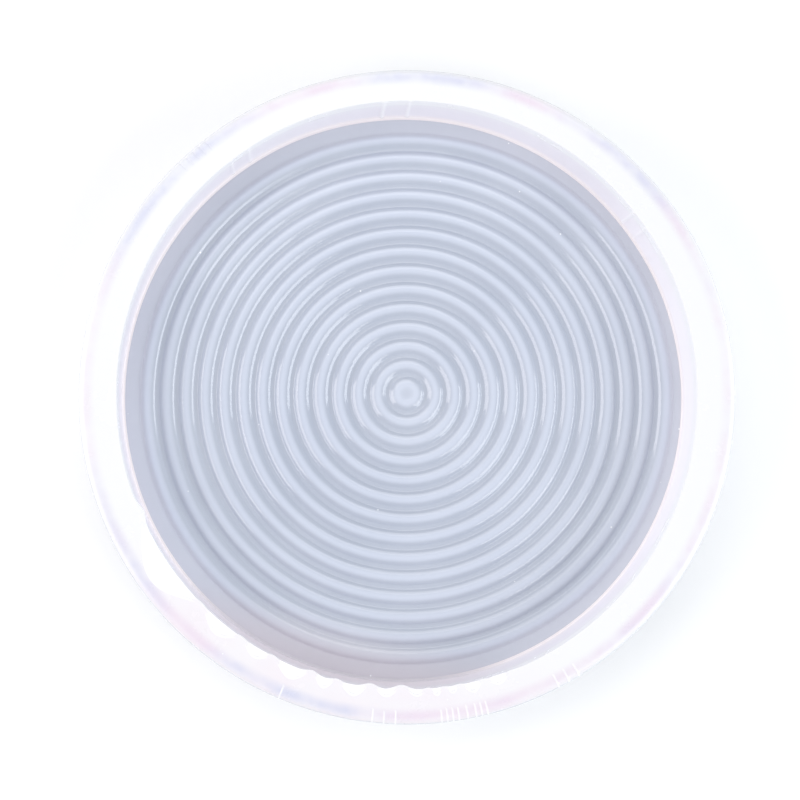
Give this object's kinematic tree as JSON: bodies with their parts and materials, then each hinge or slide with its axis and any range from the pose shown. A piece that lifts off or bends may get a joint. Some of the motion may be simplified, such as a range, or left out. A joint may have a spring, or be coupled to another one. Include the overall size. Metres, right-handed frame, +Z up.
{
  "type": "resin casting mould",
  "caption": "Round milky silicone mould, open at the top, with concentric half-round ridges on its floor, for casting a ribbed resin coaster.",
  "frame": {"origin": "centre of the flat underside", "axes": "+Z up out of the open cavity, along the axis of the round body; the mould is the same all round, so +X and +Y are free"},
  "size_m": [0.1152, 0.1152, 0.013],
  "materials": {
    "floor_silicone": "milky translucent silicone, thin, smooth and glossy",
    "relief_silicone": "milky translucent silicone ridge, smooth and glossy",
    "wall_silicone": "milky translucent silicone, thick, smooth and glossy",
    "rim_silicone": "milky translucent silicone, thick, satin where it was poured"
  },
  "bodies": {
    "root": {"floor_slab": "floor_silicone", "centre_button": "relief_silicone", "ring_ridge_01": "relief_silicone", "ring_ridge_02": "relief_silicone", "ring_ridge_03": "relief_silicone", "ring_ridge_04": "relief_silicone", "ring_ridge_05": "relief_silicone", "ring_ridge_06": "relief_silicone", "ring_ridge_07": "relief_silicone", "ring_ridge_08": "relief_silicone", "ring_ridge_09": "relief_silicone", "ring_ridge_10": "relief_silicone", "ring_ridge_11": "relief_silicone", "ring_ridge_12": "relief_silicone", "ring_ridge_13": "relief_silicone", "side_wall": "wall_silicone", "rim": "rim_silicone"}
  },
  "joints": []
}
